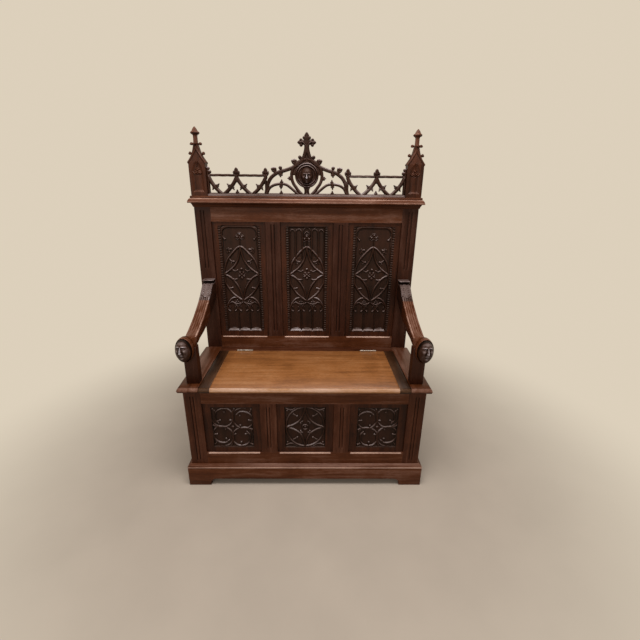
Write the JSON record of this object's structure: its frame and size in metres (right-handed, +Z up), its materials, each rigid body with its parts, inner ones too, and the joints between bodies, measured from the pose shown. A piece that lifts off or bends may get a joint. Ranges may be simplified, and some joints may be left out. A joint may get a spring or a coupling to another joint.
{
  "type": "chest bench",
  "caption": "Tall-backed Gothic Revival oak hall bench with a hinged seat lid over a panelled chest, carved head arms, traceried panels and an openwork crest.",
  "frame": {"origin": "on the floor under the middle of the bounding box", "axes": "+Z up, +X towards the bench's right end as seen from the front, -Y out of the front"},
  "size_m": [1.158, 0.5163, 1.6743],
  "materials": {
    "frame_oak": "dark red-brown stained oak, waxed, satin",
    "panel_oak": "dark stained carved oak, waxed, satin",
    "seat_oak": "honey-brown oak worn by use, waxed",
    "cleat_oak": "brown stained oak, waxed",
    "hinge_iron": "worn steel butt hinge"
  },
  "bodies": {
    "bench": {"arm_left": "frame_oak", "arm_post_left": "frame_oak", "arm_post_right": "frame_oak", "arm_right": "frame_oak", "back_bottom_rail": "frame_oak", "back_middle_rail": "frame_oak", "back_muntin_left": "frame_oak", "back_muntin_right": "frame_oak", "back_panel_centre": "panel_oak", "back_panel_left": "panel_oak", "back_panel_right": "panel_oak", "back_stile_left": "frame_oak", "back_stile_right": "frame_oak", "back_top_rail": "frame_oak", "chest_back_board": "frame_oak", "chest_bottom": "frame_oak", "cornice_bed_front": "frame_oak", "cornice_bed_left": "frame_oak", "cornice_bed_right": "frame_oak", "cornice_cap": "frame_oak", "crest_gable": "frame_oak", "crest_rail": "frame_oak", "crest_rod_left": "frame_oak", "crest_rod_right": "frame_oak", "crest_tracery_left": "frame_oak", "crest_tracery_right": "frame_oak", "front_bottom_rail": "frame_oak", "front_muntin_left": "frame_oak", "front_muntin_right": "frame_oak", "front_panel_centre": "panel_oak", "front_panel_left": "panel_oak", "front_panel_right": "panel_oak", "front_stile_left": "frame_oak", "front_stile_right": "frame_oak", "front_top_rail": "frame_oak", "hinge_pin_left": "hinge_iron", "hinge_pin_right": "hinge_iron", "hinge_rail_leaf_left": "hinge_iron", "hinge_rail_leaf_right": "hinge_iron", "medallion_head": "frame_oak", "pinnacle_left": "frame_oak", "pinnacle_right": "frame_oak", "plinth_front": "frame_oak", "plinth_left": "frame_oak", "plinth_right": "frame_oak", "seat_end_left": "frame_oak", "seat_end_right": "frame_oak", "seat_rear_rail": "frame_oak", "side_bottom_rail_left": "frame_oak", "side_bottom_rail_right": "frame_oak", "side_panel_left": "frame_oak", "side_panel_right": "frame_oak", "side_top_rail_left": "frame_oak", "side_top_rail_right": "frame_oak"},
    "lid": {"lid_board": "seat_oak", "lid_cleat_left": "cleat_oak", "lid_cleat_right": "cleat_oak", "hinge_lid_leaf_left": "hinge_iron", "hinge_lid_leaf_right": "hinge_iron"}
  },
  "joints": [
    {"name": "lid_hinge", "type": "hinge", "parent": "bench", "child": "lid", "pos_m": [0, 0.176, 0.5575], "axis": [-1, 0, 0], "range_deg": [0, 96]}
  ]
}
